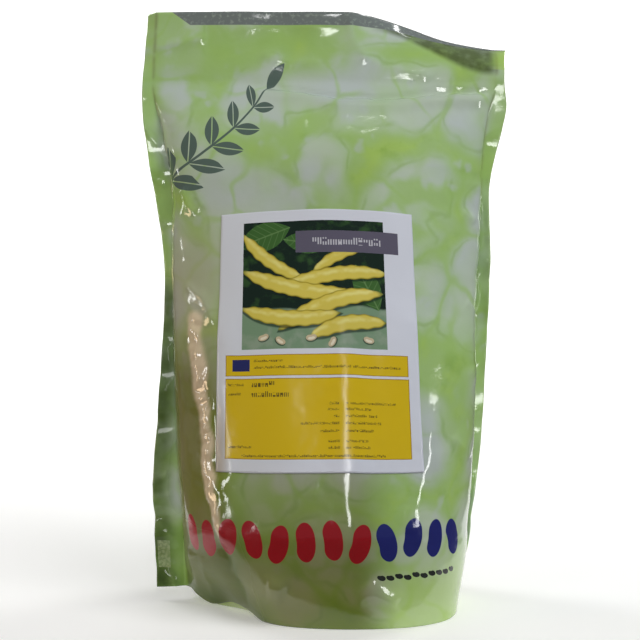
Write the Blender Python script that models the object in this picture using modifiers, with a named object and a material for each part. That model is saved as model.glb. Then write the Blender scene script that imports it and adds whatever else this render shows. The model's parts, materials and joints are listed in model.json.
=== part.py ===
"""A stand-up film pouch filled with bean seeds, standing on its bottom gusset.

Units are metres and +Z is up. The origin is the centre of the flat base that the pouch
stands on. The printed front faces -Y, and +X is to its right.

Two film panels meet in a flat seal down each side, and the seals stand out from the filled
body. Above the seeds the panels lie flat on each other as an empty header, whose right half
curls backwards. Below, a third web, the gusset, spreads the base open between the panels.
Each panel is a grid that is laid onto the pouch's surface and then given its thickness.
"""

import math
import random

import bmesh
import bpy
from mathutils import Matrix, Vector

MM = 0.001

# The pouch as it stands
FILM = 0.3 * MM
SEAL_GAP = 0.5 * MM
HEIGHT = 331 * MM
BELLY_HEIGHT = 45 * MM
SIDE_EXPONENT = 2.6
DEPTH_EXPONENT = 2.2

# Outlines as height against distance, both in millimetres. The seal's outer edge and its root
# are distances along X from the origin
LEFT_SEAL_EDGE = [(0, -82), (30, -83), (62, -85.5), (100, -83), (160, -81), (186, -82),
                  (213, -86), (250, -92.5), (282, -96), (334, -94.5)]
LEFT_SEAL_ROOT = [(0, -58), (28, -64), (55, -69.5), (108, -73), (190, -76.5), (226, -77.5),
                  (262, -84), (288, -90), (334, -89)]
RIGHT_SEAL_ROOT = [(0, 76), (27, 82), (62, 87), (108, 90.5), (155, 92), (205, 96), (243, 98),
                   (270, 102), (288, 107), (334, 109)]
RIGHT_SEAL_EDGE = [(0, 78), (20, 82), (52, 89), (87, 94.5), (130, 98), (190, 101.5),
                   (229, 102.5), (263, 111), (276, 113.5), (290, 112), (334, 117)]

# Height against depth, in millimetres. The middle plane leans back, and the panels stand
# off from it in front and behind
LEAN = [(0, 0), (45, 1.5), (76, 5), (120, 10), (160, 16), (209, 24), (240, 28), (265, 31),
        (288, 33), (334, 39.5)]
FRONT_BULGE = [(0, 54), (20, 58), (45, 57), (76, 51.5), (120, 44.5), (160, 37.5), (209, 28.5),
               (240, 21.5), (265, 13.5), (280, 5), (290, 0), (334, 0)]
BACK_BULGE = [(0, 50), (20, 54), (45, 56), (76, 57), (120, 53), (160, 46), (209, 34),
              (240, 25), (265, 15), (280, 5), (290, 0), (334, 0)]

# The bottom edges seen from above, in millimetres, from the left corner to the right one
FRONT_FOOT = [(-82, 2), (-66, 0), (-58, -8), (-50, -13), (-38, -17), (-30, -27), (-21, -42),
              (-4, -51), (22, -54), (48, -51), (66, -42), (75, -29), (78, -12), (77, 4)]
BACK_FOOT = [(-82, 3), (-70, 9), (-52, 26), (-30, 41), (0, 49), (30, 49), (54, 40), (70, 24),
             (77, 5)]
# Share of the panel's width against how far its bottom edge is off the surface
FOOT_LIFT = [(0, 7), (0.1, 8), (0.17, 2), (0.24, 5), (0.3, 3), (0.36, 0), (1, 0)]
FOOT_CLEARANCE = 0.15

# The empty header's right part curls back about a horizontal line, more and more to the right
CURL_START = 290 * MM
CURL_FROM_X = 24 * MM
CURL_TO_X = 117 * MM
CURL_TURN = math.radians(107)
CURL_EASE = 0.45

# The gusset, between the panels
GUSSET_SPAN = (0.15, 0.87)
GUSSET_SIDE_RISE = 44 * MM
GUSSET_EDGE_HEIGHT = 6 * MM
GUSSET_INSET = 1.0 * MM

# The paper label on the front, as the height of its bottom and top, and how it sits across
LABEL_BOTTOM = 75.2 * MM
LABEL_TOP = 211.5 * MM
LABEL_HALF_WIDTH = 51.5 * MM
LABEL_CENTRE_LOW = 6 * MM
LABEL_CENTRE_HIGH = 4 * MM
LABEL_DROOP_LOW = 0.4 * MM
LABEL_DROOP_HIGH = 2.6 * MM
LABEL_PAPER = 0.2 * MM
LABEL_GAP = 0.5 * MM

# The seeds
SEED_BED_TOP = 247 * MM
SEED_BED_SHRINK = 0.965
SEED_HALF_LENGTH = 6.6 * MM
SEED_HALF_WIDTH = 4.1 * MM
SEED_HALF_THICKNESS = 3.0 * MM
SEED_COLUMNS = 9
SEED_PITCH = 15.2 * MM
SEED_ROW_OFFSET = 6.2 * MM
TOP_SEED_COUNT = 6

PANEL_COLUMNS, PANEL_ROWS = 28, 34
BED_SEGMENTS = 32
SECTION_STEPS = 60


def slope(keys, i):
    """The curve's slope at a key: level at a peak, a dip, the start and the end of a flat."""
    before = max(i - 1, 0)
    after = min(i + 1, len(keys) - 1)
    rise_in = keys[i][1] - keys[before][1]
    rise_out = keys[after][1] - keys[i][1]
    if rise_in * rise_out <= 0:
        return 0.0
    return (rise_in + rise_out) / (keys[after][0] - keys[before][0])


def spline(keys, at):
    """The value at a place on a smooth curve through (place, value) keys."""
    if at <= keys[0][0]:
        return keys[0][1]
    if at >= keys[-1][0]:
        return keys[-1][1]
    i = max(n for n in range(len(keys) - 1) if keys[n][0] <= at)
    start, end = keys[i], keys[i + 1]
    width = end[0] - start[0]
    s = (at - start[0]) / width
    return (start[1] * (1 + 2 * s) * (1 - s) ** 2 + end[1] * s * s * (3 - 2 * s)
            + width * s * (1 - s) * (slope(keys, i) * (1 - s) - slope(keys, i + 1) * s))


def at_height(profile, z):
    """A profile's distance at height z, in metres."""
    return spline(profile, z / MM) * MM


def along(points, share):
    """The point that lies at this share of a chain of points' length."""
    lengths = [(b - a).length for a, b in zip(points, points[1:])]
    left = share * sum(lengths)
    for a, b, length in zip(points, points[1:], lengths):
        if left <= length:
            return a.lerp(b, left / length)
        left -= length
    return points[-1].copy()


def bulge_shape(x, z):
    """How far out the film stands at x, from 0 at a seal root to 1 at the middle."""
    left, right = at_height(LEFT_SEAL_ROOT, z), at_height(RIGHT_SEAL_ROOT, z)
    across = abs(2 * (x - left) / (right - left) - 1)
    return max(0.0, 1 - across**SIDE_EXPONENT) ** (1 / DEPTH_EXPONENT)


def body_section(z, side):
    """A panel's line at height z, seen from above. side is -1 in front and 1 behind."""
    lean = at_height(LEAN, z)
    bulge = at_height(FRONT_BULGE if side < 0 else BACK_BULGE, z)
    left, right = at_height(LEFT_SEAL_ROOT, z), at_height(RIGHT_SEAL_ROOT, z)
    wave = 3 * MM * math.sin(z / (24 * MM))
    points = [Vector((at_height(LEFT_SEAL_EDGE, z), lean + wave))]
    for i in range(SECTION_STEPS + 1):
        x = left + (right - left) * (1 - math.cos(math.pi * i / SECTION_STEPS)) / 2
        points.append(Vector((x, lean + side * bulge * bulge_shape(x, z))))
    points.append(Vector((at_height(RIGHT_SEAL_EDGE, z), lean - wave)))
    return points


def foot_line(side):
    """The bottom edge of a panel, seen from above, as a smooth chain of points."""
    foot = FRONT_FOOT if side < 0 else BACK_FOOT
    xs = [(i, x) for i, (x, _) in enumerate(foot)]
    ys = [(i, y) for i, (_, y) in enumerate(foot)]
    steps = 8 * (len(foot) - 1)
    return [Vector((spline(xs, n / 8), spline(ys, n / 8))) * MM for n in range(steps + 1)]


def smooth(t):
    t = min(max(t, 0.0), 1.0)
    return t * t * (3 - 2 * t)


def curled(point, outward):
    """A point of the film after the header's right half has curled backwards. outward is how
    far the point is off the middle plane of the two panels, along +Y where they stand upright.
    """
    rise = point.z - CURL_START
    share = min(max((point.x - CURL_FROM_X) / (CURL_TO_X - CURL_FROM_X), 0.0), 1.0)
    turn = CURL_TURN * share * (1 + CURL_EASE * (1 - share))
    if rise <= 0 or turn < 1e-3:
        return point + Vector((0, outward, 0))
    radius = (HEIGHT - CURL_START) / turn
    angle = rise / radius
    back = radius - (radius - outward) * math.cos(angle)
    return Vector((point.x, point.y + back, CURL_START + (radius - outward) * math.sin(angle)))


def film_point(share, z, side):
    """Where the film lies at a share of the panel's width, left to right, and a height."""
    section = along(body_section(max(z, BELLY_HEIGHT), side), share)
    if z < BELLY_HEIGHT:
        spread = math.sin(math.pi / 2 * z / BELLY_HEIGHT)
        section = along(foot_line(side), share).lerp(section, spread)
    return curled(Vector((section.x, section.y, z)), side * SEAL_GAP / 2)


def front_y(x, z):
    """The depth of the front film at x and z, between the seal roots."""
    bulge = at_height(FRONT_BULGE, z) * bulge_shape(x, z)
    return at_height(LEAN, z) - bulge - SEAL_GAP / 2


def material(name, colour, roughness):
    made = bpy.data.materials.new(name)
    made.use_nodes = True
    shader = made.node_tree.nodes["Principled BSDF"]
    shader.inputs["Base Color"].default_value = (*colour, 1.0)
    shader.inputs["Roughness"].default_value = roughness
    shader.inputs["Metallic"].default_value = 0.0
    return made


def add_object(name, mesh, collection, made_of):
    obj = bpy.data.objects.new(name, mesh)
    obj.data.materials.append(made_of)
    obj.data.shade_smooth()
    collection.objects.link(obj)
    return obj


def thicken(obj, thickness, offset):
    solidify = obj.modifiers.new("thickness", "SOLIDIFY")
    solidify.thickness = thickness
    solidify.offset = offset
    solidify.use_rim = True


def laid_grid(name, columns, rows, place):
    """A grid whose points, as shares across and up, are laid where place says."""
    bm = bmesh.new()
    bmesh.ops.create_grid(bm, x_segments=columns, y_segments=rows, size=1.0)
    for vert in bm.verts:
        vert.co = place((vert.co.x + 1) / 2, (vert.co.y + 1) / 2)
    mesh = bpy.data.meshes.new(name)
    bm.to_mesh(mesh)
    bm.free()
    return mesh


def denser_at_ends(share):
    return share - 0.55 * math.sin(2 * math.pi * share) / (2 * math.pi)


def panel(name, side, collection, film):
    """The front or the back web, from its bottom edge to the top of the header."""

    def place(across, up):
        share = denser_at_ends(across)
        lift = max(spline(FOOT_LIFT, share), FOOT_CLEARANCE) * MM
        climb = up**1.15
        return film_point(share, lift + climb * (HEIGHT - lift), side)

    obj = add_object(name, laid_grid(name, PANEL_COLUMNS, PANEL_ROWS, place), collection, film)
    thicken(obj, FILM, -side)
    return obj


def gusset_edge_height(share):
    """How high on the panels the gusset is welded: low in the middle, high at the sides."""
    return GUSSET_EDGE_HEIGHT + GUSSET_SIDE_RISE * abs(2 * share - 1) ** 4


def gusset(collection, film):
    """The web under the seeds: flat on the surface in the middle, rising to both sides."""
    start, end = GUSSET_SPAN

    def place(across, back):
        share = start + (end - start) * across
        height = gusset_edge_height(share)
        front = film_point(share, height, -1) + Vector((0, GUSSET_INSET, 0))
        rear = film_point(share, height, 1) - Vector((0, GUSSET_INSET, 0))
        point = front.lerp(rear, back)
        middle = smooth((0.92 - abs(2 * share - 1)) / 0.4)
        sag = middle * smooth(2.6 * (1 - abs(2 * back - 1)))
        point.z = height * (1 - sag)
        return point

    obj = add_object("bottom_gusset", laid_grid("bottom_gusset", 22, 12, place),
                     collection, film)
    thicken(obj, FILM, 1.0)
    return obj


def label(collection, paper):
    """The paper label, bent to the front panel, which tapers and so lets its ends droop."""

    def place(across, up):
        droop = LABEL_DROOP_LOW + (LABEL_DROOP_HIGH - LABEL_DROOP_LOW) * up
        z = LABEL_BOTTOM + (LABEL_TOP - LABEL_BOTTOM) * up - droop * (2 * across - 1) ** 2
        centre = LABEL_CENTRE_LOW + (LABEL_CENTRE_HIGH - LABEL_CENTRE_LOW) * up
        x = centre + LABEL_HALF_WIDTH * (2 * across - 1)
        return Vector((x, front_y(x, z) - FILM - LABEL_GAP, z))

    obj = add_object("product_label", laid_grid("product_label", 12, 14, place),
                     collection, paper)
    thicken(obj, LABEL_PAPER, -1.0)
    return obj


def seed_bed(collection, seed):
    """The packed seeds, as one solid that fills the pouch between film and gusset."""
    # Height, how much of the section is filled, and how far it reaches to both sides
    levels = [(1.2, 0.52, 0.34), (3.5, 0.74, 0.42), (8.5, 0.91, 0.48), (15, 0.95, 0.58),
              (24, 0.96, 0.70), (38, 0.965, 0.80)]
    levels += [(z, SEED_BED_SHRINK, 0.84) for z in (60, 90, 120, 150, 180, 205, 226)]
    levels += [(240, 0.93, 0.82), (247, 0.72, 0.70)]
    bm = bmesh.new()
    bmesh.ops.create_uvsphere(bm, u_segments=BED_SEGMENTS, v_segments=len(levels) + 1,
                              radius=1.0)
    rings = len(levels) + 1
    half = BED_SEGMENTS // 2
    for vert in bm.verts:
        ring = round((math.acos(min(max(-vert.co.z, -1), 1)) / math.pi) * rings)
        index = min(max(ring - 1, 0), len(levels) - 1)
        z, fill, reach = levels[index]
        z *= MM
        mid = (film_point(0.5, z, -1) + film_point(0.5, z, 1)) / 2
        if ring in (0, rings):
            vert.co = mid
            continue
        step = round(math.atan2(vert.co.y, vert.co.x) / (2 * math.pi) * BED_SEGMENTS)
        step %= BED_SEGMENTS
        side = 1 if step <= half else -1
        swing = math.cos(2 * math.pi * step / BED_SEGMENTS)
        edge = film_point(0.5 + 0.5 * reach * swing, z, side)
        if step in (0, half):
            edge.y = at_height(LEAN, z)
        vert.co = mid.lerp(edge, fill)
    mesh = bpy.data.meshes.new("seed_bed")
    bm.to_mesh(mesh)
    bm.free()
    return add_object("seed_bed", mesh, collection, seed)


def bean_mesh():
    """One kidney-shaped seed, lying flat, with its hollow side towards +Y."""
    bm = bmesh.new()
    bmesh.ops.create_uvsphere(bm, u_segments=10, v_segments=6, radius=1.0)
    bmesh.ops.rotate(bm, verts=bm.verts, matrix=Matrix.Rotation(math.pi / 2, 3, "Y"))
    for vert in bm.verts:
        hollow = 0.28 * (1 - vert.co.x**2) * max(vert.co.y, 0)
        vert.co = Vector((vert.co.x * SEED_HALF_LENGTH,
                          (vert.co.y - hollow) * SEED_HALF_WIDTH,
                          vert.co.z * SEED_HALF_THICKNESS))
    mesh = bpy.data.meshes.new("bean_seed")
    bm.to_mesh(mesh)
    bm.free()
    return mesh


def loose_seeds(collection, seed):
    """The top layer of seeds, which lie free on the packed ones."""
    mesh = bean_mesh()
    rng = random.Random(7)
    floor = SEED_BED_TOP + SEED_HALF_THICKNESS + 0.5 * MM
    centre = (at_height(LEFT_SEAL_ROOT, floor) + at_height(RIGHT_SEAL_ROOT, floor)) / 2
    places = []
    for column in range(SEED_COLUMNS):
        x = centre + (column - (SEED_COLUMNS - 1) / 2) * SEED_PITCH
        for row in (-1, 1):
            places.append(Vector((x, at_height(LEAN, floor) + row * SEED_ROW_OFFSET, floor)))
    layer = floor + 2 * SEED_HALF_THICKNESS + 0.6 * MM
    for column in range(TOP_SEED_COUNT):
        x = centre + (column - (TOP_SEED_COUNT - 1) / 2) * 1.35 * SEED_PITCH
        places.append(Vector((x, at_height(LEAN, layer), layer)))
    for number, place in enumerate(places, 1):
        obj = add_object(f"bean_seed_{number:02d}", mesh, collection, seed)
        obj.location = place
        turned = math.pi if rng.random() < 0.5 else 0.0
        obj.rotation_euler = (0, 0, turned + rng.uniform(-0.4, 0.4))


def main():
    for obj in list(bpy.data.objects):
        bpy.data.objects.remove(obj)
    collection = bpy.data.collections.new("seed_pouch")
    bpy.context.scene.collection.children.link(collection)
    film = material("printed_film", (0.48, 0.62, 0.33), 0.18)
    paper = material("label_paper", (0.78, 0.79, 0.84), 0.5)
    seed = material("bean_seed", (0.86, 0.80, 0.66), 0.4)
    panel("front_panel", -1, collection, film)
    panel("back_panel", 1, collection, film)
    gusset(collection, film)
    label(collection, paper)
    seed_bed(collection, seed)
    loose_seeds(collection, seed)


main()
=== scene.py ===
"""The looks of a stand-up seed pouch full of seeds: its creased film, its print and its label.

Units are metres, in the frame of the CAD model: +Z is up, the printed front faces -Y, and the
origin is the middle of the flat base. The film's two panels are grids of points, laid out by
the same outlines as the CAD panels and then folded, dented and puckered. The print is drawn
by shader nodes in the film's own flat coordinates, in millimetres.
"""

import json
import math

import bmesh
import bpy
import numpy as np
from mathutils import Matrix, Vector

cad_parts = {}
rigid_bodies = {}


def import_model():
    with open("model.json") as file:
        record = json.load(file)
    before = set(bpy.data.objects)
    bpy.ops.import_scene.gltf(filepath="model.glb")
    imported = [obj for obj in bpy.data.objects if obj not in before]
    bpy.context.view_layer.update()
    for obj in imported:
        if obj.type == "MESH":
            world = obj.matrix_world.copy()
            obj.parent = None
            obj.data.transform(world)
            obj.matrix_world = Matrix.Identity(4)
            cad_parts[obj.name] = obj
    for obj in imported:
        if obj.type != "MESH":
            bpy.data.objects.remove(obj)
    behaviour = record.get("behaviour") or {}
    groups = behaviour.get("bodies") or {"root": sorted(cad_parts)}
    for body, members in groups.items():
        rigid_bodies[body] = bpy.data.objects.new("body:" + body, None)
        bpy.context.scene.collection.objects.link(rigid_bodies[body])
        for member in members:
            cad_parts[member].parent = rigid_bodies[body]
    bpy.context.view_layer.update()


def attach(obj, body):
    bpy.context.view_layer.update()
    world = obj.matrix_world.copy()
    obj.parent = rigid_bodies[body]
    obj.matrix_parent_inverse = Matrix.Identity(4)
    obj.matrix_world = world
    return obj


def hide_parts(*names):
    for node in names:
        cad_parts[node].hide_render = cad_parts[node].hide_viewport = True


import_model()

MM = 0.001

# The camera, level and a little above the middle of the pouch
CAMERA_PLACE = Vector((6, -563, 152)) * MM
CAMERA_LENS_MM = 58.3

# The film, as in the CAD model
FILM = 0.3
SEAL_GAP = 0.5
HEIGHT = 331.0
BELLY_HEIGHT = 45.0
SIDE_EXPONENT = 2.6
DEPTH_EXPONENT = 2.2
LEFT_SEAL_EDGE = [(0, -82), (30, -83), (62, -85.5), (100, -83), (160, -81), (186, -82),
                  (213, -86), (250, -92.5), (282, -96), (334, -94.5)]
LEFT_SEAL_ROOT = [(0, -58), (28, -64), (55, -69.5), (108, -73), (190, -76.5), (226, -77.5),
                  (262, -84), (288, -90), (334, -89)]
RIGHT_SEAL_ROOT = [(0, 76), (27, 82), (62, 87), (108, 90.5), (155, 92), (205, 96), (243, 98),
                   (270, 102), (288, 107), (334, 109)]
RIGHT_SEAL_EDGE = [(0, 78), (20, 82), (52, 89), (87, 94.5), (130, 98), (190, 101.5),
                   (229, 102.5), (263, 111), (276, 113.5), (290, 112), (334, 117)]
LEAN = [(0, 0), (45, 1.5), (76, 5), (120, 10), (160, 16), (209, 24), (240, 28), (265, 31),
        (288, 33), (334, 39.5)]
FRONT_BULGE = [(0, 54), (20, 58), (45, 57), (76, 51.5), (120, 44.5), (160, 37.5), (209, 28.5),
               (240, 21.5), (265, 13.5), (280, 5), (290, 0), (334, 0)]
BACK_BULGE = [(0, 50), (20, 54), (45, 56), (76, 57), (120, 53), (160, 46), (209, 34),
              (240, 25), (265, 15), (280, 5), (290, 0), (334, 0)]
FRONT_FOOT = [(-82, 2), (-66, 0), (-58, -8), (-50, -13), (-38, -17), (-30, -27), (-21, -42),
              (-4, -51), (22, -54), (48, -51), (66, -42), (75, -29), (78, -12), (77, 4)]
BACK_FOOT = [(-82, 3), (-70, 9), (-52, 26), (-30, 41), (0, 49), (30, 49), (54, 40), (70, 24),
             (77, 5)]
FOOT_LIFT = [(0, 7), (0.1, 8), (0.17, 2), (0.24, 5), (0.3, 3), (0.36, 0), (1, 0)]
FOOT_CLEARANCE = 0.15
CURL_START, CURL_FROM_X, CURL_TO_X = 290.0, 24.0, 117.0
CURL_TURN = math.radians(107)
CURL_EASE = 0.45
GUSSET_SPAN = (0.15, 0.87)
GUSSET_SIDE_RISE, GUSSET_EDGE_HEIGHT, GUSSET_INSET = 44.0, 6.0, 1.0
# The gusset's flat depth, and how far its print takes it to be from a seal
GUSSET_DEPTH, GUSSET_FROM_SEAM = 105.0, 50.0

# The paper label, as it lies and as its print's flat sheet
LABEL_BOTTOM, LABEL_TOP = 75.2, 211.5
LABEL_HALF_WIDTH = 51.5
LABEL_CENTRE, LABEL_DROOP = (6.0, 4.0), (0.4, 2.6)
LABEL_SHEET = (105.0, 141.0)
LABEL_PAPER, LABEL_GAP = 0.2, 0.25

FRONT_GRID = (196, 246)
BACK_GRID = (150, 200)
LABEL_GRID = (100, 132)
GUSSET_GRID = (90, 50)
SECTION_STEPS = 160

# Sharp creases on the front, as a line of points across and up, a height and a half width
TAN_CREASE = [(-61, 162), (-60, 148), (-58, 135), (-55.5, 118), (-53, 100), (-50.5, 84),
              (-47, 62), (-43, 49), (-38, 38)]
CREASES = [
    ([(49.2, 59), (49.6, 47)], 0.8, 2.5),
    (TAN_CREASE, 1.7, 5.0),
    ([(-51, 108), (-49, 92), (-45.5, 72), (-42.5, 54)], 0.9, 2.2),
    ([(-67, 172), (-57, 162), (-47, 150)], 1.2, 2.4),
    ([(30, 25), (38, 15), (45.5, 8.7), (50, 1)], 1.5, 4.0),
    ([(-58.7, 34), (-60, 1)], 1.5, 4.0),
    ([(-45, 44), (-39, 27), (-31, 9), (-26, -2)], -2.4, 3.5),
    ([(-54, 34), (-47, -2)], 1.6, 5.0),
    ([(-71, 224), (-62, 209)], 1.1, 2.6),
    ([(-62, 222), (-58, 213)], 0.7, 2.0),
    ([(93, 206), (84, 212)], 0.9, 3.0),
    ([(93, 155), (84, 163)], 0.8, 3.0),
    ([(92, 116), (86, 128)], 0.7, 3.0),
    ([(86, 80), (74, 92)], 0.8, 3.0),
]
# Long rounded folds that each catch a light, as a line, a height and a half width
FOLDS = [
    ([(-44, 170), (-42.5, 98), (-39.6, 80), (-40, 66), (-38, 55), (-37.7, 43), (-38, 17)],
     1.3, 7.0),
    ([(18, 185), (19, 120), (20, 92), (21, 80), (20.3, 73), (20.8, 61), (23.5, 55), (24.6, 20)],
     1.3, 8.5),
    ([(20, 185), (20, 10)], 2.6, 30.0),
    ([(66, 108), (60, 90), (62, 84), (58.5, 76), (54.5, 70), (54, 58), (54, 34)], 1.2, 5.5),
    ([(-20, 20), (-11, 18)], 1.8, 6.0),
    ([(26, 19), (46, 10)], 1.8, 5.0),
]
# Where the header bends back over the top of the seeds
TOP_CREASE = [(-40, 286), (-11, 283.4), (17, 278), (31.5, 278), (42, 277), (57, 279), (72, 281),
              (103, 282), (111, 279)]
# The ridge and the groove of that bend, as a place above its line, a height and a half width
BEND_RIDGE, BEND_GROOVE = (-4.5, 2.1, 4.2), (0.8, -2.2, 1.9)
BEND_FROM_X = (-46, -5)
# Small creases in the left seal
SEAL_CREASES = [[(-86, 62), (-76, 68)], [(-86, 54), (-74, 57)], [(-82, 43), (-74, 34)],
               [(-77, 18), (-71, 5)], [(-95, 262), (-85, 250)], [(-93, 236), (-82, 228)]]
# Soft folds in the header, which both panels share
HEADER_FOLDS = [
    ([(-92, 309), (-75, 313), (-58, 315)], 1.3, 4.0),
    ([(24, 331), (26, 312), (34, 300)], 1.0, 4.0),
    ([(26, 304), (50, 296), (72, 290)], 1.2, 5.0),
    ([(34, 329), (60, 316), (92, 303), (108, 296)], 1.6, 6.0),
    ([(-45, 320), (-10, 322), (20, 321)], 0.7, 3.0),
    ([(-30, 306), (-12, 300), (8, 299)], 0.7, 3.0),
]
# Random short creases: the ranges of their start, length, height and half width
FRONT_CRINKLES = dict(seed=11, count=70, across=(-66, 88), up=(8, 262), scatter=0.7,
                      length=(6, 22), height=(0.06, 0.3), width=(1.4, 3.0))
BACK_CRINKLES = dict(seed=23, count=60, across=(-64, 84), up=(8, 262), scatter=0.6,
                     length=(10, 45), height=(0.2, 0.9), width=(1.5, 4.0))
# The relief of the body full of seeds grows from the foot and from the seals, and ends below the
# header
FOOT_RISE, SEAL_RISE, FRONT_TOP, BACK_TOP = (1, 20), (2, 16), (262, 286), (258, 284)


def curve(keys, at):
    """Values on a smooth curve through (place, value) keys, level at each peak and dip."""
    x, y = np.array(keys, float).T
    rise = np.diff(y)
    slope = np.zeros(len(x))
    climbs = rise[1:] * rise[:-1] > 0
    slope[1:-1][climbs] = ((y[2:] - y[:-2]) / (x[2:] - x[:-2]))[climbs]
    i = np.clip(np.searchsorted(x, at, side="right") - 1, 0, len(x) - 2)
    width = x[i + 1] - x[i]
    s = np.clip((at - x[i]) / width, 0, 1)
    bend = slope[i] * (1 - s) - slope[i + 1] * s
    return (y[i] * (1 + 2 * s) * (1 - s) ** 2 + y[i + 1] * s * s * (3 - 2 * s)
            + width * s * (1 - s) * bend)


def smooth(value, low=0.0, high=1.0):
    """0 below low and 1 above high, with a smooth step between them."""
    t = np.clip((value - low) / (high - low), 0, 1)
    return t * t * (3 - 2 * t)


def fade(value, low, high):
    """1 below low and 0 above high, with a smooth step between them."""
    return 1 - smooth(value, low, high)


def blend(low, high, share):
    """The value at this share of the way from low to high."""
    return low + (high - low) * share


def lattice_angle(i, j, seed):
    """A repeatable direction for each point of a square lattice."""
    mixed = np.sin(i * 127.1 + j * 311.7 + seed * 74.7) * 43758.5453
    return 2 * math.pi * (mixed - np.floor(mixed))


def noise(x, y, size, seed):
    """Smooth noise of about -1 to 1, with lumps of this size."""
    x, y = x / size, y / size
    i, j = np.floor(x), np.floor(y)
    u, v = x - i, y - j
    total = 0
    for di, dj in np.ndindex(2, 2):
        angle = lattice_angle(i + di, j + dj, seed)
        dot = (u - di) * np.cos(angle) + (v - dj) * np.sin(angle)
        total = total + dot * np.abs(1 - di - smooth(u)) * np.abs(1 - dj - smooth(v))
    return 1.8 * total


def pushed(x, z, reach, size, seed):
    """Places pushed about by noise, so that straight lines run crooked."""
    return x + reach * noise(x, z, size, seed), z + reach * noise(x, z, size, seed + 1)


def crumple(x, y, size, seed):
    """A net of sharp ridges round facets of this size, 1 on a ridge and 0 inside a facet."""
    x, y = x / size, y / size
    i, j = np.floor(x), np.floor(y)
    first = np.full(np.shape(x), 9.0)
    second = first.copy()
    for di, dj in np.ndindex(3, 3):
        angle = lattice_angle(i + di - 1, j + dj - 1, seed)
        gap = np.hypot(i + di - 0.5 + 0.42 * np.cos(angle) - x,
                       j + dj - 0.5 + 0.42 * np.sin(angle) - y)
        second = np.minimum(second, np.maximum(first, gap))
        first = np.minimum(first, gap)
    return np.maximum(0, 1 - (second - first) / 0.55)


def to_line(x, z, line):
    """How far it is to a line of points, and how far along the line that is, from 0 to 1."""
    points = np.array(line, float)
    steps = np.diff(points, axis=0)
    lengths = np.hypot(*steps.T)
    nearest = np.full(np.shape(x), 1e9)
    share = np.zeros(np.shape(x))
    passed = 0.0
    for start, step, length in zip(points, steps, lengths):
        t = np.clip(((x - start[0]) * step[0] + (z - start[1]) * step[1]) / length**2, 0, 1)
        gap = np.hypot(x - start[0] - t * step[0], z - start[1] - t * step[1])
        nearer = gap < nearest
        nearest = np.where(nearer, gap, nearest)
        share = np.where(nearer, (passed + t * length) / lengths.sum(), share)
        passed += length
    return nearest, share


def crease(x, z, line, height, width):
    """A ridge with a sharp crest along a line, which runs out at both ends."""
    gap, share = to_line(x, z, line)
    ends = smooth(share, 0, 0.14) * smooth(1 - share, 0, 0.14)
    rounded = np.sqrt(gap**2 + 0.16) - 0.4
    return height * ends * np.exp(-rounded / width)


def fold(x, z, line, height, width):
    """A rounded ridge along a line, which runs out at both ends."""
    gap, share = to_line(x, z, line)
    ends = smooth(share, 0, 0.2) * smooth(1 - share, 0, 0.2)
    return height * ends * np.exp(-(gap / width) ** 2)


def crinkles(x, z, seed, count, across, up, scatter, length, height, width):
    """Short creases at random places, most of them nearly upright."""
    random = np.random.default_rng(seed)
    total = 0
    for _ in range(count):
        start = np.array([random.uniform(*across), random.uniform(*up)])
        turn = random.normal(math.pi / 2, scatter)
        reach = random.uniform(*length) * np.array([math.cos(turn), math.sin(turn)])
        tall, wide = random.uniform(*height), random.uniform(*width)
        total = total + crease(x, z, [start, start + reach], tall, wide)
    return total


def sections(z, side):
    """The panel's line at each height, as arrays of x and y with one row a height."""
    outlines = (LEFT_SEAL_EDGE, LEFT_SEAL_ROOT, RIGHT_SEAL_ROOT, RIGHT_SEAL_EDGE, LEAN,
                FRONT_BULGE if side < 0 else BACK_BULGE)
    left_edge, left, right, right_edge, lean, bulge = (curve(keys, z)[:, None] for keys in outlines)
    wave = 3 * np.sin(z / 24)[:, None]
    swing = (1 - np.cos(np.pi * np.linspace(0, 1, SECTION_STEPS + 1))) / 2
    across = np.abs(2 * swing - 1)
    out = np.maximum(0, 1 - across**SIDE_EXPONENT) ** (1 / DEPTH_EXPONENT)
    x = np.hstack([left_edge, blend(left, right, swing), right_edge])
    y = np.hstack([lean + wave, lean + side * bulge * out, lean - wave])
    return x, y


def along(x, y, share):
    """Points at these shares of the length of a chain of points, and the length."""
    reach = np.concatenate([[0], np.cumsum(np.hypot(np.diff(x), np.diff(y)))])
    at = share * reach[-1]
    return np.interp(at, reach, x), np.interp(at, reach, y), reach[-1]


def foot_line(side):
    foot = FRONT_FOOT if side < 0 else BACK_FOOT
    steps = np.linspace(0, len(foot) - 1, 8 * (len(foot) - 1) + 1)
    return [curve(list(enumerate(places)), steps) for places in zip(*foot)]


def curled(x, y, z, outward):
    """The film after the header's right part has curled backwards."""
    share = np.clip((x - CURL_FROM_X) / (CURL_TO_X - CURL_FROM_X), 0, 1)
    turn = np.maximum(CURL_TURN * share * (1 + CURL_EASE * (1 - share)), 1e-3)
    radius = (HEIGHT - CURL_START) / turn
    rise = np.maximum(z - CURL_START, 0)
    angle = rise / radius
    back = radius - (radius - outward) * np.cos(angle)
    up = np.where(rise > 0, CURL_START + (radius - outward) * np.sin(angle), z)
    return x, y + back, up


def outward_normals(points, side):
    """Each grid point's unit normal, out of the pouch."""
    across = np.gradient(points, axis=1)
    up = np.gradient(points, axis=0)
    normal = np.cross(across, up) * -side
    return normal / np.maximum(np.linalg.norm(normal, axis=2, keepdims=True), 1e-9)


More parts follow.
